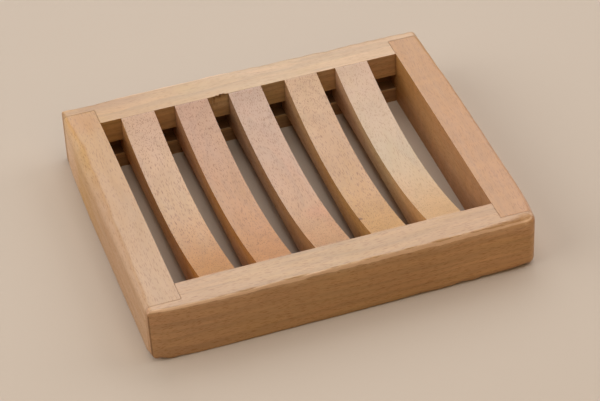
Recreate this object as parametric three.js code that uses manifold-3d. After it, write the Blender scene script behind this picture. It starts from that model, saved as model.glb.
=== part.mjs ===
// A slatted beech soap dish: four rails glued up into a frame with rebated corners, and five
// dished slats whose end tongues sit in a groove along the inner face of each long rail.
// Millimetres: X along the long rails, Y from front to back, Z up, origin at the middle of the base.
import * as THREE from "three";
import { mergeVertices } from "three/addons/utils/BufferGeometryUtils.js";
import Module from "manifold-3d";

// The whole frame.
const LENGTH = 127.4;
const DEPTH = 108.4;
const HEIGHT = 20;

// The rails: the long ones run in front and behind, and the side ones fit between their lips.
const LONG_RAIL_WIDTH = 11.4;
const SIDE_RAIL_WIDTH = 11.5;
const LIP_THICKNESS = 3.9;

// The groove along the inner face of each long rail.
const GROOVE_FLOOR = 5.4;
const GROOVE_HEIGHT = 5.8;
const GROOVE_DEPTH = 5;

// The slats. Each top is one shallow arc from rail to rail, and each base is flat.
const SLAT_WIDTH = 11.4;
const SLAT_SAG = 6.5;
const TONGUE_LENGTH = 4.5;
const GLUE_GAP = 0.15;

// The slats are set by hand: where the middle of each one lies along X, and how much further
// to the right its front end lies than its back end.
const SLAT_PLACES = [
  { middle: -38.9, lean: 0.9 },
  { middle: -20.4, lean: 0.9 },
  { middle: -1.4, lean: 1.2 },
  { middle: 17.7, lean: -0.2 },
  { middle: 36.0, lean: 0.1 },
];

// The sanded outer edges.
const CORNER_RADIUS = 3;
const TOP_ROUNDING = 2.2;
const BASE_ROUNDING = 0.8;
const ROUNDING_STEPS = 5;
const ARC_STEPS = 12;

// How far a cutting block runs past what it cuts.
const OVERCUT = 5;

// Half sizes of the frame and of the space inside it.
const HALF_LENGTH = LENGTH / 2;
const HALF_DEPTH = DEPTH / 2;
const INNER_X = HALF_LENGTH - SIDE_RAIL_WIDTH;
const INNER_Y = HALF_DEPTH - LONG_RAIL_WIDTH;

const wasm = await Module();
wasm.setup();

// A closed geometry as a solid that can be cut.
function solidOf(geometry) {
  const bare = geometry.clone().deleteAttribute("normal").deleteAttribute("uv");
  const merged = mergeVertices(bare, 1e-4);
  return new wasm.Manifold(
    new wasm.Mesh({
      numProp: 3,
      vertProperties: merged.attributes.position.array,
      triVerts: merged.index.array,
    }),
  );
}

// A solid as a geometry with flat faces.
function geometryOf(solid) {
  const { vertProperties, triVerts } = solid.getMesh();
  const geometry = new THREE.BufferGeometry();
  geometry.setAttribute("position", new THREE.BufferAttribute(vertProperties, 3));
  geometry.setIndex(new THREE.BufferAttribute(triVerts, 1));
  const faceted = geometry.toNonIndexed();
  faceted.computeVertexNormals();
  return faceted;
}

// A block between two corners.
function block(low, high) {
  const size = high.clone().sub(low);
  const middle = low.clone().add(high).multiplyScalar(0.5);
  return solidOf(new THREE.BoxGeometry(size.x, size.y, size.z).translate(middle.x, middle.y, middle.z));
}

// A closed outline drawn in Y and Z, extruded along X and centred on x = 0.
function extrudeAlongX(outline, length) {
  const geometry = new THREE.ExtrudeGeometry(outline, {
    depth: length,
    bevelEnabled: false,
    curveSegments: ARC_STEPS,
  });
  const turned = new THREE.Matrix4().makeBasis(
    new THREE.Vector3(0, 1, 0),
    new THREE.Vector3(0, 0, 1),
    new THREE.Vector3(1, 0, 0),
  );
  return geometry.applyMatrix4(turned).translate(-length / 2, 0, 0);
}

// The plan of the frame, with round corners.
function framePlan() {
  const x = HALF_LENGTH - CORNER_RADIUS;
  const y = HALF_DEPTH - CORNER_RADIUS;
  const plan = new THREE.Shape();
  plan.absarc(x, y, CORNER_RADIUS, 0, Math.PI / 2);
  plan.absarc(-x, y, CORNER_RADIUS, Math.PI / 2, Math.PI);
  plan.absarc(-x, -y, CORNER_RADIUS, Math.PI, 1.5 * Math.PI);
  plan.absarc(x, -y, CORNER_RADIUS, 1.5 * Math.PI, 2 * Math.PI);
  return plan;
}

// A slab with the frame's plan whose edges are rounded at both its lowest and highest faces.
function roundedSlab(bottom, top, rounding) {
  const geometry = new THREE.ExtrudeGeometry(framePlan(), {
    depth: top - bottom - 2 * rounding,
    bevelSize: rounding,
    bevelThickness: rounding,
    bevelOffset: -rounding,
    bevelSegments: ROUNDING_STEPS,
    curveSegments: ROUNDING_STEPS,
  });
  return solidOf(geometry.translate(0, 0, bottom + rounding));
}

// The sanded outer form: one slab rounds the top edges, and the other rounds the base.
function outerForm() {
  const crown = roundedSlab(-2 * TOP_ROUNDING, HEIGHT, TOP_ROUNDING);
  const foot = roundedSlab(0, HEIGHT + 2 * BASE_ROUNDING, BASE_ROUNDING);
  return crown.intersect(foot);
}

// The front rail. Its section has the groove on its inner face, and each end is rebated, which
// leaves a thin lip that covers the end of the side rail.
function longRail(form) {
  const grooveEnd = -INNER_Y - GROOVE_DEPTH;
  const grooveTop = GROOVE_FLOOR + GROOVE_HEIGHT;
  const section = new THREE.Shape();
  section.moveTo(-HALF_DEPTH, 0);
  section.lineTo(-INNER_Y, 0);
  section.lineTo(-INNER_Y, GROOVE_FLOOR);
  section.lineTo(grooveEnd, GROOVE_FLOOR);
  section.lineTo(grooveEnd, grooveTop);
  section.lineTo(-INNER_Y, grooveTop);
  section.lineTo(-INNER_Y, HEIGHT);
  section.lineTo(-HALF_DEPTH, HEIGHT);
  const rail = solidOf(extrudeAlongX(section, LENGTH));
  const rightRebate = block(
    new THREE.Vector3(INNER_X, LIP_THICKNESS - HALF_DEPTH, -OVERCUT),
    new THREE.Vector3(HALF_LENGTH + OVERCUT, OVERCUT - INNER_Y, HEIGHT + OVERCUT),
  );
  const leftRebate = block(
    new THREE.Vector3(-HALF_LENGTH - OVERCUT, LIP_THICKNESS - HALF_DEPTH, -OVERCUT),
    new THREE.Vector3(-INNER_X, OVERCUT - INNER_Y, HEIGHT + OVERCUT),
  );
  return geometryOf(rail.subtract(rightRebate).subtract(leftRebate).intersect(form));
}

// The left rail, plain and square, between the lips of the two long rails.
function sideRail(form) {
  const rail = block(
    new THREE.Vector3(-HALF_LENGTH, LIP_THICKNESS - HALF_DEPTH, 0),
    new THREE.Vector3(-INNER_X, HALF_DEPTH - LIP_THICKNESS, HEIGHT),
  );
  return geometryOf(rail.intersect(form));
}

// A slat, centred on x = 0. Its base runs straight through to the tips of its tongues, and above
// each tongue it is cut back to a shoulder that meets the rail.
function slat() {
  const shoulder = INNER_Y - GLUE_GAP;
  const tip = shoulder + TONGUE_LENGTH;
  const base = GROOVE_FLOOR + GLUE_GAP;
  const tongueTop = GROOVE_FLOOR + GROOVE_HEIGHT - GLUE_GAP;
  const arcRadius = (shoulder ** 2 + SLAT_SAG ** 2) / (2 * SLAT_SAG);
  const arcSpread = Math.asin(shoulder / arcRadius);
  const side = new THREE.Shape();
  side.moveTo(-tip, base);
  side.lineTo(tip, base);
  side.lineTo(tip, tongueTop);
  side.lineTo(shoulder, tongueTop);
  side.absarc(
    0,
    HEIGHT - SLAT_SAG + arcRadius,
    arcRadius,
    arcSpread - Math.PI / 2,
    -arcSpread - Math.PI / 2,
    true,
  );
  side.lineTo(-shoulder, tongueTop);
  side.lineTo(-tip, tongueTop);
  return extrudeAlongX(side, SLAT_WIDTH);
}

// Oiled beech, a little different in hue from board to board.
function beech(colour) {
  return new THREE.MeshStandardMaterial({ color: colour, roughness: 0.55, metalness: 0 });
}

function piece(name, geometry, colour) {
  const mesh = new THREE.Mesh(geometry, beech(colour));
  mesh.name = name;
  return mesh;
}

const RAIL_COLOURS = { front: 0xcfa67e, back: 0xd8b48c, left: 0xd3ae86, right: 0xd2a27c };
const SLAT_COLOURS = [0xd0a67c, 0xcfa184, 0xd0a98e, 0xd0a878, 0xd8b68e];

const dish = new THREE.Group();
const form = outerForm();

dish.add(piece("front_rail", longRail(form), RAIL_COLOURS.front));
const backRail = piece("back_rail", longRail(form), RAIL_COLOURS.back);
backRail.rotation.z = Math.PI;
dish.add(backRail);

dish.add(piece("left_rail", sideRail(form), RAIL_COLOURS.left));
const rightRail = piece("right_rail", sideRail(form), RAIL_COLOURS.right);
rightRail.rotation.z = Math.PI;
dish.add(rightRail);

SLAT_PLACES.forEach(({ middle, lean }, i) => {
  const mesh = piece(`slat_${i + 1}`, slat(), SLAT_COLOURS[i]);
  mesh.position.x = middle;
  mesh.rotation.z = Math.asin(lean / (2 * INNER_Y));
  dish.add(mesh);
});

export default dish;
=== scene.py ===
import math

import bmesh
import bpy
import numpy as np
from mathutils import Matrix, Vector, noise


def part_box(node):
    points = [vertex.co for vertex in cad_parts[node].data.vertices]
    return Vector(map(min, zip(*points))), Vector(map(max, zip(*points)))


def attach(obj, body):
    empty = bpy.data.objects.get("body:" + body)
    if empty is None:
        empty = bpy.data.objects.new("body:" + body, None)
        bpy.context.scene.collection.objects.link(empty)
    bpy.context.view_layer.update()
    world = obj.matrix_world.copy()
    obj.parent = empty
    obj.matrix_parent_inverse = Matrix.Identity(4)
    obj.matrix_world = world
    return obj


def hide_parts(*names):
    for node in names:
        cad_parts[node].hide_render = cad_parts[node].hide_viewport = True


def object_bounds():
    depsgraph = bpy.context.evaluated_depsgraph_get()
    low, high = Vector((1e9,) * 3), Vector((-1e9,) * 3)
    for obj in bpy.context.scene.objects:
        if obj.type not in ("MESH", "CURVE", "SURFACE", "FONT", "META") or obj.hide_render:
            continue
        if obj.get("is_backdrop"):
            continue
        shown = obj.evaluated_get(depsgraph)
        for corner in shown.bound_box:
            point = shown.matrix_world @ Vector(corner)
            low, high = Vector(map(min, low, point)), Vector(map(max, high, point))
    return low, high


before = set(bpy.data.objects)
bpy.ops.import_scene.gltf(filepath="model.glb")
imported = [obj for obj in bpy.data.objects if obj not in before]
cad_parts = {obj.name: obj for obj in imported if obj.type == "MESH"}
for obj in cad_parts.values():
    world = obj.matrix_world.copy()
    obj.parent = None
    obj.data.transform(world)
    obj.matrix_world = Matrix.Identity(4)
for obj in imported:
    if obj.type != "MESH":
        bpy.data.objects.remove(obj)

# A slatted beech soap dish: four rails and five dished slats, on a pale floor in a soft studio.
# Lengths are in metres, so a length in millimetres is written as a number times MM. Sizes that
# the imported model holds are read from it, and only the finer shape and the looks are set here.
MM = 0.001
CAD_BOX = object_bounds()

# The least number that is divided by, and how near two places are when they count as one.
TINY = 1e-9
CLOSE = 1e-6

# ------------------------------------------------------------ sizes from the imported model
LOW, HIGH = CAD_BOX
HALF_X = (HIGH.x - LOW.x) / 2
HALF_Y = (HIGH.y - LOW.y) / 2
TOP = HIGH.z
INNER_X = -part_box("left_rail")[1].x
INNER_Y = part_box("back_rail")[0].y
LIP_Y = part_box("left_rail")[1].y
SLATS = ("slat_1", "slat_2", "slat_3", "slat_4", "slat_5")


def node_points(name):
    """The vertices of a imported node, one row each."""
    return np.array([v.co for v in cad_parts[name].data.vertices])


def find_groove():
    """The floor, the roof and the back of the groove along a long rail's inner face."""
    points = node_points("back_rail")
    inside = (points[:, 1] > INNER_Y + MM) & (points[:, 1] < LIP_Y - MM / 2)
    corners = points[inside & (points[:, 2] > 2 * MM) & (points[:, 2] < TOP - 2 * MM)]
    return corners[:, 2].min(), corners[:, 2].max(), corners[:, 1].max()


GROOVE_FLOOR, GROOVE_ROOF, GROOVE_BACK = find_groove()


def slat_facts(name):
    """Where a slat lies and its size: its middle along X, its lean about Z in radians, its half
    width, the reach of its tongues, the height of its base and how far its top sags."""
    points = node_points(name)
    base = points[points[:, 2] < points[:, 2].min() + 0.1 * MM]
    front, back = base[base[:, 1] < 0], base[base[:, 1] > 0]
    along = back.mean(0) - front.mean(0)
    across = front - front.mean(0)
    return {
        "middle": (front.mean(0)[0] + back.mean(0)[0]) / 2,
        "lean": math.atan2(-along[0], along[1]),
        "half": np.hypot(across[:, 0], across[:, 1]).mean(),
        "tip": math.hypot(along[0], along[1]) / 2,
        "base": points[:, 2].min(),
        "sag": TOP - points[points[:, 2] > GROOVE_ROOF + MM][:, 2].min(),
    }


# ------------------------------------------------------------ how the frame is sanded
# The edges were eased by hand, so they are crisp in some places and well rounded in others.
# Each table holds (place along the side, size) pairs in millimetres.

# How far the rounding of the top edges reaches in over the top.
TOP_ROUND = {
    "left": ((-54, 0.8), (-44, 2.2), (-20, 2.6), (8, 3.4), (26, 4.0), (40, 2.6), (54, 0.8)),
    "right": ((-54, 2.6), (-42, 1.3), (20, 1.3), (54, 2.0)),
    "front": ((-64, 0.8), (-50, 0.8), (0, 0.8), (40, 0.9), (52, 1.6), (60, 2.6), (64, 3.0)),
    "back": ((-64, 0.8), (-50, 1.6), (-42, 0.5), (-8, 0.5), (4, 1.2), (26, 1.6), (64, 1.6)),
}

# How far it falls down the side.
TOP_FALL = {
    "left": ((-54, 0.9), (-44, 2.6), (-20, 3.2), (8, 4.2), (26, 4.4), (40, 3.0), (54, 1.0)),
    "right": ((-54, 3.0), (-42, 1.3), (20, 1.3), (54, 2.0)),
    "front": ((-64, 0.8), (-50, 1.4), (-20, 2.4), (20, 3.0), (45, 3.2), (64, 3.2)),
    "back": ((-64, 0.8), (-50, 1.6), (-42, 0.5), (-8, 0.5), (4, 1.2), (26, 1.6), (64, 1.6)),
}

# The radius of the lower edges.
BASE_ROUND = {
    "left": ((-54, 4.0), (-48, 0.5), (54, 0.4)),
    "right": ((-54, 2.6), (-40, 1.0), (54, 0.8)),
    "front": ((-64, 3.8), (-58, 1.2), (-48, 0.5), (0, 0.8), (30, 1.7), (48, 2.0), (64, 3.2)),
    "back": ((-64, 1.0), (64, 1.0)),
}

# How much thinner the side rails were sanded, and how far the front face sweeps back.
SIDE_TAPER = {
    "left": ((22, 0.0), (44, 0.5), (54, 1.1)),
    "right": ((-54, 0.6), (-46, 0.2), (-38, 0.0), (8, 0.0), (54, 0.6)),
}
FRONT_SWEEP = ((-64, 1.9), (-58, 0.9), (-50, 0.4), (-38, 0.0))
SWEEP_AT_BASE = 0.3

# The radius of each upright corner, by the signs of its X and Y.
CORNER_ROUND = {(-1, -1): 0.4 * MM, (1, -1): 3.2 * MM, (-1, 1): 0.6 * MM, (1, 1): 2.2 * MM}

# The radii at the upper and lower ends of the front face's left edge, and how far back the left
# rail takes part in them.
FACE_ROUND = {"top": 1.8 * MM, "base": 3.2 * MM}
FACE_ROUND_RUN = 7 * MM

# The widest rounding that the grids below leave room for. The front top edge is nearer to a
# chamfer than to a quarter circle, which has a power of 2.
ROUND_ZONE = 4.4 * MM
CIRCLE_POWER = 2.0
FRONT_POWER = 1.35

# How much the roundings vary from spot to spot, as a share of their size, and their seeds.
TOP_WAVER, TOP_SEED = 0.3, 3.0
BASE_WAVER, BASE_SEED = 0.2, 9.0

# The waves in the roundings of the side rails and of the long rails, as (strength, length).
SIDE_WAVES = ((0.5, 13 * MM), (0.3, 4 * MM))
LONG_WAVES = ((0.9, 7 * MM), (1.0, 2.6 * MM))

# What brings Blender's noise to a full swing, and how far a seed moves it sideways.
NOISE_GAIN = 1.8
SEED_SHIFT = 0.37


def wander(values, step, seed):
    """Smooth random numbers between about -1 and 1, one for each value, that change over step."""
    places = [Vector((v / step, seed, SEED_SHIFT * seed)) for v in values]
    return np.array([NOISE_GAIN * noise.noise(place) for place in places])


def waves(places, shares, seed):
    """Waves of several strengths and lengths added up, each with a seed of its own."""
    return sum(share * wander(places, step, seed + i) for i, (share, step) in enumerate(shares))


def read_table(pairs, places):
    """The sizes that a table gives at some places along its side, both in metres."""
    return MM * np.interp(places / MM, *zip(*pairs))


def edge_radius(table, x, y, nx, ny, waver, seed):
    """The radius of the outer edge beside each point, blended round the corners. The waver is
    how much the radius varies from spot to spot, as a share of it."""
    side_x = np.where(nx < 0, read_table(table["left"], y), read_table(table["right"], y))
    side_y = np.where(ny < 0, read_table(table["front"], x), read_table(table["back"], x))
    wave_x = 1 + waver * waves(y, SIDE_WAVES, seed)
    wave_y = 1 + waver * waves(x, LONG_WAVES, seed + len(SIDE_WAVES))
    radius = side_x * wave_x * nx**2 + side_y * wave_y * ny**2
    return np.minimum(radius, ROUND_ZONE)


def square_to_round(a, b, power=CIRCLE_POWER):
    """Maps the unit square onto the unit quarter disc, and leaves its two inner sides in place.
    A power of less than 2 flattens the disc's rim towards a straight chamfer."""
    a, b = np.maximum(a, 0), np.maximum(b, 0)
    reach = np.maximum((a**power + b**power) ** (1 / power), TINY)
    pull = np.maximum(a, b) / reach
    return a * pull, b * pull


def turn_corners(x, y):
    """Rounds the upright corners in plan. Returns X and Y, the outward direction of the nearest
    side, and each point's depth under that side."""
    sx, sy = np.where(x < 0, -1.0, 1.0), np.where(y < 0, -1.0, 1.0)
    corner = np.zeros(len(x))
    for (cx, cy), radius in CORNER_ROUND.items():
        corner[(sx == cx) & (sy == cy)] = radius
    a, b = (abs(x) - (HALF_X - corner)) / corner, (abs(y) - (HALF_Y - corner)) / corner
    turning = (a > 0) & (b > 0)
    ra, rb = square_to_round(a, b)
    x = np.where(turning, sx * (HALF_X - corner + ra * corner), x)
    y = np.where(turning, sy * (HALF_Y - corner + rb * corner), y)
    rho = np.maximum(np.hypot(ra, rb), TINY)
    to_side = HALF_X - abs(x) < HALF_Y - abs(y)
    nx = np.where(turning, ra / rho, np.where(to_side, 1.0, 0.0)) * sx
    ny = np.where(turning, rb / rho, np.where(to_side, 0.0, 1.0)) * sy
    depth = np.where(turning, corner * (1 - rho), np.minimum(HALF_X - abs(x), HALF_Y - abs(y)))
    return x, y, nx, ny, depth


def front_left_rounding(x, y, z):
    """How far the front face's left edge is drawn in where it turns into the top and the base."""
    drawn = np.zeros(len(x))
    for radius, height in ((FACE_ROUND["top"], TOP - z), (FACE_ROUND["base"], z)):
        below = np.clip(radius - height, 0, radius)
        drawn += radius - np.sqrt(radius**2 - below**2)
    near = np.clip((FACE_ROUND_RUN - HALF_Y - y) / FACE_ROUND_RUN, 0, 1)
    return np.where(x < 0, drawn * near, 0)


def draw_in(x, y, z):
    """Moves points of the rounded frame inwards where its side faces are not straight."""
    taper_left, taper_right = (read_table(SIDE_TAPER[side], y) for side in ("left", "right"))
    inset = np.where(x < 0, taper_left, taper_right) + front_left_rounding(x, y, z)
    outward = np.clip((abs(x) - INNER_X) / (HALF_X - INNER_X), 0, 1)
    sweep = read_table(FRONT_SWEEP, x) * (SWEEP_AT_BASE + (1 - SWEEP_AT_BASE) * z / TOP)
    forward = np.clip((-y - LIP_Y) / (HALF_Y - LIP_Y), 0, 1)
    return np.stack([x - np.where(x < 0, -1.0, 1.0) * inset * outward, y + sweep * forward, z], 1)


def sand(points):
    """Rounds the dish's outer edges and corners: moves points of its square outer form inwards."""
    z = points[:, 2]
    x, y, nx, ny, depth = turn_corners(points[:, 0], points[:, 1])
    crown = edge_radius(TOP_ROUND, x, y, nx, ny, TOP_WAVER, TOP_SEED)
    fall = edge_radius(TOP_FALL, x, y, nx, ny, TOP_WAVER, TOP_SEED)
    foot = edge_radius(BASE_ROUND, x, y, nx, ny, BASE_WAVER, BASE_SEED)
    chamfered = CIRCLE_POWER - (CIRCLE_POWER - FRONT_POWER) * np.clip(-ny, 0, 1) ** 2
    edges = ((crown, fall, TOP - z, -1.0, chamfered), (foot, foot, z, 1.0, CIRCLE_POWER))
    for reach, drop, height, up, power in edges:
        a, b = 1 - depth / reach, 1 - height / drop
        edge = (a > 0) & (b > 0)
        ra, rb = square_to_round(a, b, power)
        new_depth = np.where(edge, reach * (1 - ra), depth)
        new_height = np.where(edge, drop * (1 - rb), height)
        x = x - nx * (new_depth - depth)
        y = y - ny * (new_depth - depth)
        z = z + up * (new_height - height)
        depth = new_depth
    return draw_in(x, y, z)


# ------------------------------------------------------------ square-cut solids
# Spacings of the grid lines: on plain faces, and along the boards.
COARSE = 1.8 * MM
MEDIUM = 1.5 * MM
FINE = 0.5 * MM

# How far from an inner edge the next grid line lies, and the widths of the eased arrises, of the
# seams between the rails and of those between the slats and the rails.
BESIDE = 0.6 * MM
ARRIS = 0.3 * MM
SEAM = 0.12 * MM
SLAT_SEAM = 0.08 * MM

# The grid under an outer face and above the base, as (start, end, spacing).
EDGE_GRID = (
    (ROUND_ZONE, 1.2 * MM, 0.55 * MM),
    (1.2 * MM, 0.45 * MM, 0.25 * MM),
    (0.45 * MM, 0, 0.15 * MM),
)
BASE_ZONE = 3.3 * MM
BASE_GRID = ((0, 0.45 * MM, 0.15 * MM), (0.45 * MM, BASE_ZONE, 0.4 * MM))

# The least angle between two faces for an edge to be eased, and for it to be shaded sharp.
EASED_ANGLE = math.radians(60)
SHARP_ANGLE = math.radians(38)


def lines(*stretches):
    """Grid lines over joined stretches, each (start, end, spacing)."""
    out = []
    for start, end, spacing in stretches:
        count = max(1, round(abs(end - start) / spacing))
        out += [start + (end - start) * i / count for i in range(count)]
    return np.array(out + [stretches[-1][1]])


def outer_lines(start, half):
    """Stretches from start to an outer face, closer together where the edge is rounded."""
    edge = [(half - far, half - near, spacing) for far, near, spacing in EDGE_GRID]
    return [(start, half - ROUND_ZONE, COARSE), *edge]


def mirrored(values):
    """The same grid lines on the other side of zero, still in rising order."""
    return -values[::-1]


def square_solid(xs, ys, zs, inside):
    """A closed mesh, as a bmesh, of the grid cells whose centres are inside."""
    middles = [(g[1:] + g[:-1]) / 2 for g in (xs, ys, zs)]
    full = np.zeros([len(m) + 2 for m in middles], bool)
    full[1:-1, 1:-1, 1:-1] = inside(*np.meshgrid(*middles, indexing="ij"))
    bm = bmesh.new()
    made = {}

    def vertex(at):
        if at not in made:
            made[at] = bm.verts.new((xs[at[0]], ys[at[1]], zs[at[2]]))
        return made[at]

    for axis in range(3):
        u, v = (axis + 1) % 3, (axis + 2) % 3
        beyond = np.roll(full, -1, axis)
        for sign, walls in ((1, full & ~beyond), (-1, ~full & beyond)):
            for cell in np.argwhere(walls):
                first = [int(c) - 1 for c in cell]
                first[axis] += 1
                corners = []
                for du, dv in ((0, 0), (1, 0), (1, 1), (0, 1)):
                    at = list(first)
                    at[u] += du
                    at[v] += dv
                    corners.append(vertex(tuple(at)))
                bm.faces.new(corners[::sign])
    return bm


def at_level(edge, axis, level):
    """Whether both ends of an edge lie at a level, on either side of the middle."""
    return all(abs(abs(v.co[axis]) - level) < CLOSE for v in edge.verts)


def is_outer(edge):
    """Whether an edge is one of the dish's outer edges, which sand() rounds."""
    faces = at_level(edge, 0, HALF_X) + at_level(edge, 1, HALF_Y)
    return faces + at_level(edge, 2, 0) + at_level(edge, 2, TOP) > 1


def is_seam(edge):
    """Whether an edge borders the glued joint between a long rail and a side rail."""
    middle = (edge.verts[0].co + edge.verts[1].co) / 2
    beside = abs(middle.x) > INNER_X - CLOSE and abs(middle.y) > INNER_Y - CLOSE
    return beside and (at_level(edge, 0, INNER_X) or at_level(edge, 1, LIP_Y))


def ease(bm, test, width, label):
    """Bevels the square convex edges that pass the test, and labels the narrow new faces."""
    layer = bm.faces.layers.float.get(label) or bm.faces.layers.float.new(label)
    chosen = [
        e
        for e in bm.edges
        if len(e.link_faces) == 2
        and e.is_convex
        and e.calc_face_angle(0) > EASED_ANGLE
        and test(e)
    ]
    made = bmesh.ops.bevel(
        bm,
        geom=chosen,
        offset=width,
        offset_type="OFFSET",
        segments=2,
        profile=0.5,
        affect="EDGES",
        clamp_overlap=True,
    )
    for face in made["faces"]:
        face[layer] = 1.0


def mark(bm, name, test, value=1.0):
    """Labels the faces whose middles pass the test."""
    layer = bm.faces.layers.float.get(name) or bm.faces.layers.float.new(name)
    for face in bm.faces:
        if test(face.calc_center_median()):
            face[layer] = value


def finish_piece(name, bm, warp, material):
    """Turns a bmesh into a piece that rides on the body and stands for its CAD node."""
    points = warp(np.array([v.co for v in bm.verts]))
    for v, p in zip(bm.verts, points):
        v.co = p
    bm.normal_update()
    mesh = bpy.data.meshes.new(name + "_wood")
    bm.to_mesh(mesh)
    bm.free()
    mesh.shade_smooth()
    mesh.set_sharp_from_angle(angle=SHARP_ANGLE)
    piece = bpy.data.objects.new(name + "_wood", mesh)
    bpy.context.scene.collection.objects.link(piece)
    mesh.materials.append(material)
    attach(piece, "root")
    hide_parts(name)
    return piece


# ------------------------------------------------------------ the rails
# A chip torn out of the back rail's inner edge: its ends along X, its depth and height, and the
# thickness of the lip above it.
CHIP_X = (-13.4 * MM, -8.2 * MM)
CHIP_DEPTH = 1.3 * MM
CHIP_HEIGHT = 5.0 * MM
CHIP_LIP = 0.35 * MM
CHIP_SPACING = 0.35 * MM

# The chip's form: how steep its ends are, the power of its slope, and its roughness and its ragged
# lip as (mean, swing, length, seed). The roughness changes faster along X than up Z.
CHIP_STEEPNESS = 3.2
CHIP_SLOPE = 0.7
CHIP_ROUGH = (0.7, 0.3, 1.1 * MM, 21.0)
CHIP_RAGGED = (0.16, 0.3, 0.9 * MM, 33.0)
ROUGH_ALONG, ROUGH_UP = 2.2, 0.25

# The strip beside a long rail's outer top edge that gets a painted highlight, over the top and down
# the side.
RIDGE_WIDTH = 0.8 * MM
RIDGE_FALL = 0.6 * MM

# How far from the top and the base the dark line on the front left edge ends, and how strong it
# is beside a seam.
LINE_MARGIN = 2 * MM
LINE_STRENGTH = 1.6

# How dark the painted shade below the groove is, as a share of the painted shade in the groove.
UNDER_GROOVE_SHADE = 0.5


def uneven(places, mean, swing, step, seed):
    """Smooth random numbers round a mean."""
    return mean + swing * wander(places, step, seed)


def tear_out(points):
    """Hollows the chip out of the back rail's inner face, rough along the fibres, under a thin
    ragged lip that is left of the rail's top edge. Leaves the front rail as it is."""
    x, y, z = points[:, 0], points[:, 1], points[:, 2]
    along = np.clip((x - CHIP_X[0]) / (CHIP_X[1] - CHIP_X[0]), 0, 1)
    sides = np.clip(CHIP_STEEPNESS * np.sin(math.pi * along), 0, 1)
    down = np.clip((TOP - z) / CHIP_HEIGHT, 0, 1)
    fibres = uneven(x * ROUGH_ALONG + z * ROUGH_UP, *CHIP_ROUGH)
    hollow = sides * (1 - down) ** CHIP_SLOPE * fibres
    ragged = sides * np.clip(uneven(x, *CHIP_RAGGED), 0, 1)
    on_face = (y > 0) & (y < INNER_Y + ARRIS + CLOSE) & (down < 1)
    torn = CHIP_DEPTH * np.where(on_face, np.where(TOP - z > CHIP_LIP, hollow, ragged), 0)
    return np.stack([x, y + torn, z], 1)


def is_in_groove(y, z):
    """Whether a face's middle is inside the groove, or on one of its walls."""
    inside = INNER_Y + ARRIS < y < GROOVE_BACK + CLOSE
    return inside and GROOVE_FLOOR - CLOSE < z < GROOVE_ROOF + CLOSE


def is_under_groove(y, z):
    """Whether a face's middle is on the inner face below the groove, where little light falls."""
    return y < INNER_Y + ARRIS and z < GROOVE_FLOOR - ARRIS


def is_on_ridge(at, sign):
    """Whether a face's middle is beside the outer top edge of a long rail."""
    return HALF_Y - at.y * sign < RIDGE_WIDTH and TOP - at.z < RIDGE_FALL


def is_on_front_left_edge(at):
    """Whether a face is on the crisp upright edge at the front left, which has darkened."""
    reach = CORNER_ROUND[-1, -1]
    on_edge = at.x < reach - HALF_X and at.y < reach - HALF_Y
    return on_edge and LINE_MARGIN < at.z < TOP - LINE_MARGIN


def long_rail_grid(sign):
    """The grid lines of a long rail, closer together round the chip in the back one."""
    along = [(-INNER_X + BESIDE, INNER_X - BESIDE, MEDIUM)]
    above_groove = COARSE
    if sign > 0:
        along = [
            (-INNER_X + BESIDE, CHIP_X[0], MEDIUM),
            (*CHIP_X, CHIP_SPACING),
            (CHIP_X[1], INNER_X - BESIDE, MEDIUM),
        ]
        above_groove = BESIDE
    right = outer_lines(INNER_X + BESIDE, HALF_X)
    xs = lines(
        *[(-end, -start, spacing) for start, end, spacing in right[::-1]],
        (-INNER_X - BESIDE, -INNER_X, BESIDE),
        (-INNER_X, -INNER_X + BESIDE, BESIDE),
        *along,
        (INNER_X - BESIDE, INNER_X, BESIDE),
        (INNER_X, INNER_X + BESIDE, BESIDE),
        *right,
    )
    face_zone, lip_start = INNER_Y + 1.2 * MM, LIP_Y - 0.7 * MM
    ys = lines(
        (INNER_Y, face_zone, 0.4 * MM),
        (face_zone, GROOVE_BACK, COARSE),
        (GROOVE_BACK, lip_start, COARSE),
        *outer_lines(lip_start, HALF_Y)[1:],
    )
    ys[np.argmin(abs(ys - LIP_Y))] = LIP_Y
    zs = lines(
        *BASE_GRID,
        (BASE_ZONE, GROOVE_FLOOR - BESIDE, COARSE),
        (GROOVE_FLOOR - BESIDE, GROOVE_FLOOR, BESIDE),
        (GROOVE_FLOOR, GROOVE_ROOF, COARSE),
        (GROOVE_ROOF, GROOVE_ROOF + BESIDE, BESIDE),
        (GROOVE_ROOF + BESIDE, TOP - ROUND_ZONE, above_groove),
        *outer_lines(TOP - ROUND_ZONE, TOP)[1:],
    )
    return xs, ys if sign > 0 else mirrored(ys), zs


def ease_rail(bm):
    """Eases a rail's inner arrises, and opens the fine seams where it is glued to the others."""
    ease(bm, lambda e: not is_outer(e) and not is_seam(e), ARRIS, "worn")
    ease(bm, lambda e: is_seam(e) and not is_outer(e), SEAM, "seam")


def long_rail(name, sign, material):
    """The front rail (sign -1) or the back rail (sign 1): grooved inside, rebated at its ends."""

    def inside(x, y, z):
        rebate = (abs(x) > INNER_X) & (y * sign < LIP_Y)
        groove = (y * sign < GROOVE_BACK) & (z > GROOVE_FLOOR) & (z < GROOVE_ROOF)
        return ~rebate & ~groove

    bm = square_solid(*long_rail_grid(sign), inside)
    ease_rail(bm)
    mark(bm, "end_grain", lambda at: abs(at.x) > HALF_X - CLOSE)
    # The groove and the inner face below it get painted shade.
    mark(bm, "painted_recess_shade", lambda at: is_in_groove(at.y * sign, at.z))
    mark(bm, "painted_recess_shade", lambda at: is_under_groove(at.y * sign, at.z), UNDER_GROOVE_SHADE)
    # A painted highlight along the long rails' outer top edge.
    mark(bm, "ridge_highlight", lambda at: is_on_ridge(at, sign))
    mark(bm, "seam", is_on_front_left_edge, LINE_STRENGTH)
    return finish_piece(name, bm, lambda points: sand(tear_out(points)), material)


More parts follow.
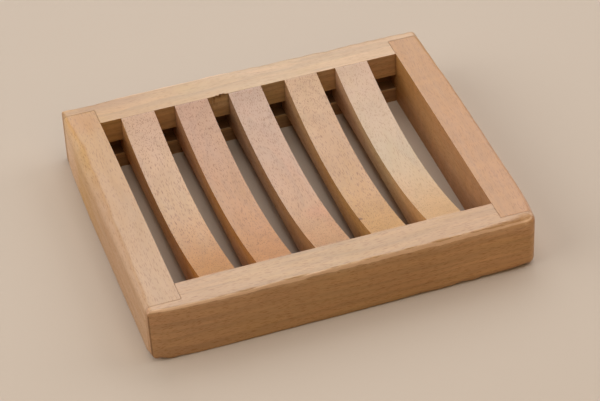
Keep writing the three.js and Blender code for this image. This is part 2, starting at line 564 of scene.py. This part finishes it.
def side_rail(name, sign, material):
    """The left rail (sign -1) or the right rail (sign 1), between the long rails' lips."""
    xs = lines((INNER_X, INNER_X + BESIDE, BESIDE), *outer_lines(INNER_X + BESIDE, HALF_X))
    if sign < 0:
        xs = mirrored(xs)
    ys = lines(
        (-LIP_Y, -LIP_Y + BESIDE, BESIDE),
        (-LIP_Y + BESIDE, -INNER_Y, FINE),
        (-INNER_Y, INNER_Y, MEDIUM),
        (INNER_Y, LIP_Y - BESIDE, FINE),
        (LIP_Y - BESIDE, LIP_Y, BESIDE),
    )
    zs = lines(*BASE_GRID, *outer_lines(BASE_ZONE, TOP))
    bm = square_solid(xs, ys, zs, lambda x, y, z: np.full(x.shape, True))
    ease_rail(bm)
    return finish_piece(name, bm, sand, material)


# ------------------------------------------------------------ the slats
# How far the slats' shoulders stand off the rails, how far the tongues are under the groove's
# roof, and the thickness of the layer of cells under a slat's top.
SHOULDER_GAP = 0.04 * MM
TONGUE_GAP = 0.15 * MM
TOP_LAYER = 0.9 * MM


def slat(name, material):
    """A slat with a dished top, a flat base and a tongue at each end."""
    facts = slat_facts(name)
    half, tip, base, sag = facts["half"], facts["tip"], facts["base"], facts["sag"]
    shoulder = INNER_Y - SHOULDER_GAP
    tongue = GROOVE_ROOF - TONGUE_GAP
    radius = (shoulder**2 + sag**2) / (2 * sag)
    xs = lines(
        (-half, -half + BESIDE, BESIDE),
        (-half + BESIDE, half - BESIDE, COARSE),
        (half - BESIDE, half, BESIDE),
    )
    ys = lines(
        (-tip, -shoulder, COARSE),
        (-shoulder, -shoulder + BESIDE, BESIDE),
        (-shoulder + BESIDE, shoulder - BESIDE, MEDIUM),
        (shoulder - BESIDE, shoulder, BESIDE),
        (shoulder, tip, COARSE),
    )
    zs = lines(
        (base, base + BESIDE, BESIDE),
        (base + BESIDE, tongue, COARSE),
        (tongue, TOP - TOP_LAYER, COARSE),
        (TOP - TOP_LAYER, TOP, TOP_LAYER),
    )

    def is_shoulder(edge):
        return at_level(edge, 1, shoulder)

    def dish_and_turn(points):
        """Dishes the top, with the inside in proportion, and turns the slat to its place."""
        x, y, z = points[:, 0], points[:, 1], points[:, 2]
        reach = np.clip(y, -shoulder, shoulder)
        top = TOP - sag + radius - np.sqrt(radius**2 - reach**2)
        high = base + (z - base) * (top - base) / (TOP - base)
        c, s = math.cos(facts["lean"]), math.sin(facts["lean"])
        return np.stack([facts["middle"] + c * x - s * y, s * x + c * y, high], 1)

    bm = square_solid(xs, ys, zs, lambda x, y, z: (abs(y) < shoulder) | (z < tongue))
    ease(bm, lambda e: not is_shoulder(e), ARRIS, "worn")
    ease(bm, is_shoulder, SLAT_SEAM, "seam")
    return finish_piece(name, bm, dish_and_turn, material)


# ------------------------------------------------------------ beech
# Each texture: its frequencies in cycles a millimetre along, across and up the grain, its detail
# and its roughness.
TEXTURES = {
    "bend": ((0.018, 0.05, 0.05), 1.0, 0.5),
    "drift": ((0.05, 0.2, 0.2), 2.0, 0.5),
    "blotch": ((0.03, 0.1, 0.1), 3.0, 0.6),
    "stray": ((0.012, 0.11, 0.11), 3.0, 0.5),
    "streaks": ((0.022, 0.55, 0.55), 4.0, 0.62),
    "fibres": ((0.16, 3.4, 3.4), 3.0, 0.6),
    "figure": ((0.26, 0.03, 0.03), 1.0, 0.5),
    "sheen": ((0.08, 0.4, 0.4), 2.0, 0.5),
}

# How far one seed moves the textures, in millimetres along, across and up the grain.
SEED_STEP = (97.0, 41.0, 23.0)

# How far the grain bends and the colours drift, in millimetres, and the growth rings stray, in
# rings.
BEND_REACH = 7.0
DRIFT_REACH = 22.0
STRAY_REACH = 3.2

# Where in a year its latewood darkens, from none to full, and where it ends, from none to full.
LATEWOOD_RISE = (0.35, 0.92)
LATEWOOD_END = (1.0, 0.93)

# How strongly the fibres show, and the ray flecks as (length, width, strength) in millimetres. The
# share is how many of the texture's cells hold a fleck, the fade how gradually that number falls
# off, and the edge where a fleck starts and is full, as a part of its cell.
FIBRE_DEPTH = 0.16
FLECKS = ((4.0, 0.36, 1.0), (2.4, 0.3, 0.8))
FLECK_SHARE = 0.85
FLECK_FADE = 0.15
FLECK_EDGE = (0.34, 0.16)
FLECK_COLOUR = (0.22, 0.065, 0.0, 1)

# Where the blotches' texture turns pink and yellow, from none to full, and the part of a spot's
# radius within which it is full.
PINK_SPAN = (0.5, 0.75)
YELLOW_SPAN = (0.5, 0.25)
SPOT_CORE = 0.25

# Tints that multiply the colour, and colours that it is mixed with.
PINK = (1.04, 0.94, 0.94, 1)
YELLOW = (1.0, 1.04, 0.88, 1)
END_GRAIN_TINT = (0.86, 0.76, 0.66, 1)
# The recess tint is painted shade, put in the groove and below it, where little light falls.
RECESS_SHADE_TINT = (0.32, 0.24, 0.18, 1)
SEAM_COLOUR = (0.12, 0.055, 0.022, 1)
# The worn colour serves both the rubbed arrises and the painted highlight along the long rails'
# outer top edge.
WORN_AND_HIGHLIGHT_COLOUR = (0.78, 0.52, 0.33, 1)
WORN_ARRIS = 0.21
RIDGE_HIGHLIGHT = 0.6

# A board's side faces get a tint of painted light and shade, which comes in as the surface tilts:
# these are its normal's Z where the tint starts. The slats' dished tops tilt too, so theirs starts
# later.
RAIL_TILT = 0.995
SLAT_TILT = 0.97
TILT_RANGE = 0.11

# The oil shines on the upper faces, and hardly on the sides: the normal's Z where its coat starts
# and is full, the least specular level and how much the coat adds to it.
UPWARD_SPAN = (-0.1, 0.6)
LEAST_SHINE = 0.3
COAT_SHINE = 0.35

# The roughness: its span, the span of the texture that drives it, how much the flecks add to it,
# and the coat's own.
ROUGHNESS = (0.36, 0.48)
SHEEN_SPAN = (0.3, 0.7)
FLECK_ROUGHNESS = 0.08
COAT_ROUGHNESS = 0.4

# The relief: its depth, the bump's strength, and how high the fibres stand and how deep the flecks
# lie, as shares of the depth.
RELIEF = 0.05 * MM
BUMP_STRENGTH = 0.35
FIBRE_RELIEF = 0.7
FLECK_RELIEF = 0.35


class Graph:
    """Adds nodes to one material and joins them up. Inputs are values or other nodes' sockets."""

    def __init__(self, material):
        self.tree = material.node_tree

    def add(self, kind, inputs=None, **settings):
        node = self.tree.nodes.new(kind)
        for key, value in settings.items():
            setattr(node, key, value)
        for key, value in (inputs or {}).items():
            if isinstance(value, bpy.types.NodeSocket):
                self.tree.links.new(value, node.inputs[key])
            else:
                node.inputs[key].default_value = value
        return node

    def math(self, operation, a, b=0.0):
        return self.add("ShaderNodeMath", {0: a, 1: b}, operation=operation).outputs[0]

    def vector(self, operation, a, b):
        return self.add("ShaderNodeVectorMath", {0: a, 1: b}, operation=operation).outputs[0]

    def texture(self, name, vector, output="Fac"):
        """One of TEXTURES: smooth noise round 0.5."""
        scales, detail, roughness = TEXTURES[name]
        inputs = {"Vector": self.vector("MULTIPLY", vector, scales), "Scale": 1.0}
        inputs.update({"Detail": detail, "Roughness": roughness})
        return self.add("ShaderNodeTexNoise", inputs).outputs[output]

    def swing(self, value, depth):
        """A texture's swing to either side of 0, times a depth."""
        return self.math("MULTIPLY", self.math("SUBTRACT", value, 0.5), depth)

    def span(self, value, low, high, to_low=0.0, to_high=1.0):
        """Maps the span from low to high smoothly onto another, and holds it outside."""
        inputs = {0: value, 1: low, 2: high, 3: to_low, 4: to_high}
        node = self.add("ShaderNodeMapRange", inputs, interpolation_type="SMOOTHSTEP")
        return node.outputs[0]

    def mix(self, factor, a, b, blend="MIX"):
        inputs = {0: factor, 6: a, 7: b}
        node = self.add("ShaderNodeMix", inputs, data_type="RGBA", blend_type=blend)
        return node.outputs[2]

    def ramp(self, factor, colours):
        """Runs through the colours, which are evenly spaced from 0 to 1."""
        node = self.add("ShaderNodeValToRGB", {0: factor})
        elements = node.color_ramp.elements
        while len(elements) < len(colours):
            elements.new(0.5)
        for i, (element, colour) in enumerate(zip(elements, colours)):
            element.position = i / (len(colours) - 1)
            element.color = (*colour, 1)
        return node.outputs[0]

    def label(self, name):
        """The label that mark() or ease() gave a face: 0 where there is none."""
        return self.add("ShaderNodeAttribute", attribute_name=name).outputs["Fac"]


def board_coordinates(g, middle, turn):
    """Millimetres in the board: X along its grain, Y across it and Z up."""
    place = g.add("ShaderNodeTexCoord").outputs["Object"]
    c, s = math.cos(turn), math.sin(turn)
    shift = (-(c * middle.x - s * middle.y) / MM, -(s * middle.x + c * middle.y) / MM, 0)
    inputs = {"Vector": place, "Location": shift, "Rotation": (0, 0, turn)}
    inputs["Scale"] = (1 / MM, 1 / MM, 1 / MM)
    return g.add("ShaderNodeMapping", inputs).outputs[0]


def grain_coordinates(g, board, seed):
    """Board coordinates moved to a fresh part of each texture and bent a little, as fibres are."""
    moved = g.vector("ADD", board, tuple(step * seed for step in SEED_STEP))
    bend = g.texture("bend", moved, "Color")
    centred = g.vector("SUBTRACT", bend, (0.5, 0.5, 0.5))
    return g.vector("ADD", moved, g.vector("MULTIPLY", centred, (0.0, BEND_REACH, BEND_REACH)))


def share_along(g, board, grain, reach):
    """0 at the left or front end of the board and 1 at the other, with a wavy front between."""
    along = g.add("ShaderNodeSeparateXYZ", {0: board}).outputs[0]
    place = g.math("ADD", along, g.swing(g.texture("drift", grain), DRIFT_REACH))
    return g.add("ShaderNodeMapRange", {0: place, 1: -reach, 2: reach}).outputs[0]


def growth_rings(g, board, grain, pith, gap):
    """Thin dark latewood lines round the pith: 1 on a line and 0 between lines."""
    sideways = g.vector("MULTIPLY", g.vector("SUBTRACT", board, (0, *pith)), (0.0, 1.0, 1.0))
    reach = g.add("ShaderNodeVectorMath", {0: sideways}, operation="LENGTH").outputs["Value"]
    stray = g.math("MULTIPLY", g.texture("stray", grain), STRAY_REACH)
    year = g.math("FRACT", g.math("ADD", g.math("DIVIDE", reach, gap), stray))
    return g.math("MULTIPLY", g.span(year, *LATEWOOD_RISE), g.span(year, *LATEWOOD_END))


def ray_flecks(g, grain, length, width):
    """Short dashes along the grain, where rays reach the surface: 1 in a dash and 0 elsewhere."""
    place = g.vector("MULTIPLY", grain, (1 / length, 1 / width, 1 / width))
    inputs = {"Vector": place, "Scale": 1.0, "Randomness": 1.0}
    cells = g.add("ShaderNodeTexVoronoi", inputs)
    dash = g.span(cells.outputs["Distance"], *FLECK_EDGE)
    chance = g.add("ShaderNodeSeparateColor", {0: cells.outputs["Color"]}).outputs[0]
    least = 1 - FLECK_SHARE
    return g.math("MULTIPLY", dash, g.span(chance, least, least + FLECK_FADE))


def spot(g, board, centre, radius):
    """1 near a place on the board, fading to 0 at the radius."""
    inputs = {0: board, 1: centre}
    away = g.add("ShaderNodeVectorMath", inputs, operation="DISTANCE").outputs["Value"]
    return g.span(away, radius, SPOT_CORE * radius)


def ground_colour(g, board, grain, share, look):
    """The wood's colour before its figure: it drifts along the board, in blotches and spots."""
    colour = g.ramp(share, look["colours"])
    blotch = g.texture("blotch", grain)
    pink = g.span(blotch, *PINK_SPAN, 0.0, look["pink"])
    colour = g.mix(pink, colour, PINK, "MULTIPLY")
    yellow = g.span(blotch, *YELLOW_SPAN, 0.0, look["yellow"])
    colour = g.mix(yellow, colour, YELLOW, "MULTIPLY")
    for centre, radius, tint, strength in look.get("spots", ()):
        patch = g.math("MULTIPLY", spot(g, board, centre, radius), strength)
        colour = g.mix(patch, colour, (*tint, 1), "MULTIPLY")
    return colour


def with_figure(g, colour, board, grain, fibres, look):
    """The colour made lighter and darker by growth rings, streaks, fibres and broad figure."""
    rings = growth_rings(g, board, grain, look["pith"], look["ring_gap"])
    tone = g.math("MULTIPLY", rings, -look["ring_depth"])
    tone = g.math("ADD", tone, g.swing(g.texture("streaks", grain), look["streaks"]))
    tone = g.math("ADD", tone, g.swing(fibres, FIBRE_DEPTH))
    tone = g.math("ADD", tone, g.swing(g.texture("figure", grain), look["figure"]))
    inputs = {0: colour, "Scale": g.math("ADD", tone, 1.0)}
    return g.add("ShaderNodeVectorMath", inputs, operation="SCALE").outputs[0]


def with_wear_and_painted_light(g, colour, share, side, look):
    """The colour with real wear, end grain and seams, painted shade in the recesses, a painted
    highlight on the ridge, and painted light and shade on the board's sides.
    """
    # Real wear on the arrises, and a painted highlight on the ridge.
    worn_arris = g.math("MULTIPLY", g.label("worn"), WORN_ARRIS)
    painted_ridge = g.math("MULTIPLY", g.label("ridge_highlight"), RIDGE_HIGHLIGHT)
    colour = g.mix(g.math("MAXIMUM", worn_arris, painted_ridge), colour, WORN_AND_HIGHLIGHT_COLOUR)
    colour = g.mix(g.label("end_grain"), colour, END_GRAIN_TINT, "MULTIPLY")
    # Painted shade in the groove and below it.
    colour = g.mix(g.label("painted_recess_shade"), colour, RECESS_SHADE_TINT, "MULTIPLY")
    # Painted light and shade on the board's sides, which comes in as the surface tilts.
    painted_side_light = g.ramp(share, (look["painted_side_light"], look.get("far_painted_side_light", look["painted_side_light"])))
    colour = g.mix(side, colour, painted_side_light, "MULTIPLY")
    return g.mix(g.math("MULTIPLY", g.label("seam"), look["seam"]), colour, SEAM_COLOUR)


def beech(name, middle, turn, look):
    """Oiled beech for one board, from its look: see LOOKS."""
    material = bpy.data.materials.new(name + "_beech")
    material.use_nodes = True
    g = Graph(material)
    board = board_coordinates(g, middle, turn)
    grain = grain_coordinates(g, board, look["seed"])
    share = share_along(g, board, grain, look["reach"])
    fibres = g.texture("fibres", grain)
    flecks = g.math("MAXIMUM", *[
        g.math("MULTIPLY", ray_flecks(g, grain, length, width), strength)
        for length, width, strength in FLECKS
    ])
    facing = g.add("ShaderNodeTexCoord").outputs["Normal"]
    level = g.add("ShaderNodeSeparateXYZ", {0: facing}).outputs[2]
    tilt = SLAT_TILT if name in SLATS else RAIL_TILT

    colour = ground_colour(g, board, grain, share, look)
    colour = with_figure(g, colour, board, grain, fibres, look)
    colour = g.mix(g.math("MULTIPLY", flecks, look["flecks"]), colour, FLECK_COLOUR)
    colour = with_wear_and_painted_light(g, colour, share, g.span(level, tilt, tilt - TILT_RANGE), look)

    upward = g.span(level, *UPWARD_SPAN)
    shine = g.math("ADD", g.math("MULTIPLY", upward, COAT_SHINE), LEAST_SHINE)
    sheen = g.span(g.texture("sheen", grain), *SHEEN_SPAN, *ROUGHNESS)
    rough = g.math("ADD", sheen, g.math("MULTIPLY", flecks, FLECK_ROUGHNESS))
    raised = g.math("MULTIPLY", fibres, FIBRE_RELIEF)
    relief = g.math("SUBTRACT", raised, g.math("MULTIPLY", flecks, FLECK_RELIEF))
    inputs = {"Strength": BUMP_STRENGTH, "Distance": RELIEF, "Height": relief}
    bump = g.add("ShaderNodeBump", inputs)
    shader = material.node_tree.nodes["Principled BSDF"]
    shader.inputs["Coat Roughness"].default_value = COAT_ROUGHNESS
    g.tree.links.new(colour, shader.inputs["Base Color"])
    g.tree.links.new(rough, shader.inputs["Roughness"])
    g.tree.links.new(bump.outputs[0], shader.inputs["Normal"])
    g.tree.links.new(shine, shader.inputs["Specular IOR Level"])
    g.tree.links.new(upward, shader.inputs["Coat Weight"])
    return material


# The look of each board. The colours run along the grain, from the left end or the front end to
# the other end, and reach is where the end colours are met, in millimetres from the middle. The
# pith is where the middle of the tree was, across and above the board's middle, in millimetres.
# The painted side light is the tint of the side faces, painted light and shade that stand in for
# how light falls on them, and the far one is their tint at the other end, if it is another one.
# Each spot is a centre in board coordinates, a radius, a tint and a strength. The other numbers say
# how strong a texture, a tint or a seam is.
LOOKS = {
    "front_rail": {
        "colours": ((0.46, 0.265, 0.126), (0.45, 0.262, 0.109), (0.459, 0.247, 0.1)),
        "reach": 50, "seed": 1.3, "pith": (28, -46), "ring_gap": 2.6, "ring_depth": 0.10,
        "streaks": 0.5, "figure": 0.03, "flecks": 0.55, "pink": 0.5, "yellow": 0.5, "seam": 0.35,
        "painted_side_light": (1.09, 1.05, 1.03), "spots": (((45, -9, 4), 24, (1.1, 1.13, 1.2), 1.0),),
    },
    "back_rail": {
        "colours": ((0.475, 0.261, 0.098), (0.498, 0.319, 0.162), (0.528, 0.322, 0.16)),
        "reach": 50, "seed": 2.7, "pith": (-18, -60), "ring_gap": 2.2, "ring_depth": 0.14,
        "streaks": 0.55, "figure": 0.04, "flecks": 0.4, "pink": 0.5, "yellow": 0.8, "seam": 0.3,
        "painted_side_light": (0.97, 0.97, 0.97), "far_painted_side_light": (0.9, 0.84, 0.78),
    },
    "left_rail": {
        "colours": ((0.455, 0.262, 0.121), (0.429, 0.23, 0.0867), (0.452, 0.224, 0.0457)),
        "reach": 42, "seed": 4.1, "pith": (30, -70), "ring_gap": 3.1, "ring_depth": 0.05,
        "streaks": 0.12, "figure": 0.03, "flecks": 0.6, "pink": 0.15, "yellow": 0.4, "seam": 0.3,
        "painted_side_light": (1.12, 1.14, 1.3), "far_painted_side_light": (1.24, 1.42, 2.2),
        "spots": (
            ((45, -0.5, 20.5), 9, (0.93, 0.81, 0.58), 0.8),
            ((46, 12, 8), 20, (1.2, 1.34, 2.6), 1.0),
        ),
    },
    "right_rail": {
        "colours": ((0.431, 0.195, 0.0496), (0.442, 0.194, 0.0442), (0.42, 0.187, 0.0328)),
        "reach": 42, "seed": 5.9, "pith": (-34, 55), "ring_gap": 2.8, "ring_depth": 0.06,
        "streaks": 0.14, "figure": 0.24, "flecks": 0.6, "pink": 0.4, "yellow": 0.4, "seam": 0.24,
        "painted_side_light": (1.16, 1.32, 2.4),
    },
    "slat_1": {
        "colours": ((0.461, 0.194, 0.0395), (0.475, 0.266, 0.104), (0.503, 0.295, 0.172)),
        "reach": 34, "seed": 7.2, "pith": (22, -58), "ring_gap": 3.0, "ring_depth": 0.06,
        "streaks": 0.14, "figure": 0.04, "flecks": 0.95, "pink": 0.3, "yellow": 0.6, "seam": 0.4,
        "painted_side_light": (1.15, 1.05, 0.75),
    },
    "slat_2": {
        "colours": ((0.472, 0.199, 0.053), (0.411, 0.181, 0.0418), (0.442, 0.238, 0.136)),
        "reach": 34, "seed": 8.8, "pith": (-26, -50), "ring_gap": 2.6, "ring_depth": 0.07,
        "streaks": 0.14, "figure": 0.05, "flecks": 1.0, "pink": 0.35, "yellow": 0.3, "seam": 0.4,
        "painted_side_light": (1.05, 1.02, 0.9),
    },
    "slat_3": {
        "colours": ((0.5, 0.255, 0.104), (0.438, 0.229, 0.106), (0.459, 0.287, 0.191)),
        "reach": 34, "seed": 10.4, "pith": (-8, -34), "ring_gap": 3.4, "ring_depth": 0.08,
        "streaks": 0.12, "figure": 0.08, "flecks": 0.85, "pink": 0.7, "yellow": 0.2, "seam": 0.4,
        "painted_side_light": (0.86, 0.8, 0.66), "spots": (((-21, -2, 16), 6, (1.06, 0.92, 0.9), 0.7),),
    },
    "slat_4": {
        "colours": ((0.519, 0.266, 0.0779), (0.428, 0.213, 0.066), (0.504, 0.297, 0.152)),
        "reach": 34, "seed": 12.1, "pith": (16, -62), "ring_gap": 2.9, "ring_depth": 0.06,
        "streaks": 0.12, "figure": 0.14, "flecks": 0.85, "pink": 0.4, "yellow": 0.6, "seam": 0.4,
        "spots": (((-31.5, 5.3, 17.0), 1.1, (0.36, 0.2, 0.08), 0.95),),
        "painted_side_light": (1.04, 1.02, 1.0),
    },
    "slat_5": {
        "colours": ((0.574, 0.334, 0.141), (0.455, 0.311, 0.164), (0.522, 0.333, 0.21)),
        "reach": 34, "seed": 13.6, "pith": (-20, -66), "ring_gap": 3.2, "ring_depth": 0.05,
        "streaks": 0.1, "figure": 0.03, "flecks": 0.55, "pink": 0.3, "yellow": 0.5, "seam": 0.4,
        "painted_side_light": (1.16, 1.1, 1.0),
    },
}

QUARTER = math.pi / 2


def build_dish():
    """Makes the four rails and the five slats, each with its own beech."""
    for name, sign in (("front_rail", -1), ("back_rail", 1)):
        middle = Vector((0, sign * (HALF_Y + INNER_Y) / 2, 0))
        long_rail(name, sign, beech(name, middle, 0.0, LOOKS[name]))
    for name, sign in (("left_rail", -1), ("right_rail", 1)):
        middle = Vector((sign * (HALF_X + INNER_X) / 2, 0, 0))
        side_rail(name, sign, beech(name, middle, -QUARTER, LOOKS[name]))
    for name in SLATS:
        facts = slat_facts(name)
        middle = Vector((facts["middle"], 0, 0))
        slat(name, beech(name, middle, -QUARTER - facts["lean"], LOOKS[name]))


# ------------------------------------------------------------ studio
FLOOR_REACH = 1.5
FLOOR_DROP = 0.02 * MM
FLOOR_COLOUR = (0.53, 0.45, 0.376, 1)
FLOOR_ROUGHNESS = 0.9
FLOOR_SPECULAR = 0.2


def floor():
    """A wide sheet of pale matt paper, just under the dish."""
    bm = bmesh.new()
    bmesh.ops.create_grid(bm, x_segments=1, y_segments=1, size=FLOOR_REACH)
    mesh = bpy.data.meshes.new("floor")
    bm.to_mesh(mesh)
    bm.free()
    paper = bpy.data.objects.new("floor", mesh)
    paper.location.z = -FLOOR_DROP
    bpy.context.scene.collection.objects.link(paper)
    material = bpy.data.materials.new("floor_paper")
    material.use_nodes = True
    shader = material.node_tree.nodes["Principled BSDF"]
    shader.inputs["Base Color"].default_value = FLOOR_COLOUR
    shader.inputs["Roughness"].default_value = FLOOR_ROUGHNESS
    shader.inputs["Specular IOR Level"].default_value = FLOOR_SPECULAR
    mesh.materials.append(material)
    paper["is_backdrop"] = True


# Square softboxes: azimuth (0 in front, 90 to the right) and elevation in degrees, distance and
# side in metres, power in watts and colour.
SOFTBOXES = {
    "back": (160, 48, 1.2, 1.0, 6.2, (0.97, 0.98, 1.0)),
    "back_low": (165, 14, 1.2, 0.9, 0.7, (1.0, 0.98, 0.98)),
    "back_left": (215, 48, 1.2, 0.9, 1.4, (1.0, 0.98, 0.96)),
    "right": (92, 42, 1.2, 0.75, 4.3, (1.0, 0.98, 0.98)),
    "right_low": (112, 14, 1.2, 0.9, 1.9, (1.0, 0.98, 0.98)),
    "top": (0, 78, 1.2, 0.75, 3.7, (1.0, 0.95, 0.90)),
    "left_low": (248, 20, 1.2, 1.0, 5.0, (1.0, 0.97, 0.94)),
    "left_mid": (275, 40, 1.2, 0.75, 4.9, (1.0, 0.97, 0.92)),
    "front_fill": (6, 40, 1.2, 0.75, 2.9, (1.0, 0.77, 0.48)),
}


def softbox(name, azimuth, elevation, distance, side, power, colour):
    """A square area light that faces the middle of the dish."""
    a, e = math.radians(azimuth), math.radians(elevation)
    away = Vector((math.sin(a) * math.cos(e), -math.cos(a) * math.cos(e), math.sin(e)))
    data = bpy.data.lights.new(name, "AREA")
    data.shape = "SQUARE"
    data.size = side
    data.energy = power
    data.color = colour
    light = bpy.data.objects.new(name, data)
    light.location = away * distance
    light.rotation_mode = "QUATERNION"
    light.rotation_quaternion = away.to_track_quat("Z", "Y")
    bpy.context.scene.collection.objects.link(light)


# The camera: where it stands as seen from the target, what it looks at, and its lens in mm.
AZIMUTH = math.radians(-17.14)
ELEVATION = math.radians(39.62)
ROLL = math.radians(-2.755)
DISTANCE = 0.80481
TARGET = Vector((0.00355, 0.00376, 0))
SENSOR = 36
LENS = 146.6


def camera():
    """The scene's camera, aimed at the target and tilted a little about its line of sight."""
    flat = math.cos(ELEVATION)
    back = Vector((math.sin(AZIMUTH) * flat, -math.cos(AZIMUTH) * flat, math.sin(ELEVATION)))
    level = Vector((0, 0, 1)).cross(back).normalized()
    upright = back.cross(level)
    right = level * math.cos(ROLL) + upright * math.sin(ROLL)
    up = upright * math.cos(ROLL) - level * math.sin(ROLL)
    data = bpy.data.cameras.new("camera")
    data.sensor_width = SENSOR
    data.lens = LENS
    data.clip_start = 0.05
    data.clip_end = 20
    eye = bpy.data.objects.new("camera", data)
    eye.matrix_world = Matrix((right, up, back)).transposed().to_4x4()
    eye.location = TARGET + back * DISTANCE
    bpy.context.scene.collection.objects.link(eye)
    bpy.context.scene.camera = eye


build_dish()
floor()
for key, box in SOFTBOXES.items():
    softbox(key + "_softbox", *box)
camera()
bpy.context.scene.view_settings.view_transform = "Standard"

boxes = {"cad_box": CAD_BOX, "visual_box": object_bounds()}
{key: [list(v) for v in value] for key, value in boxes.items()}
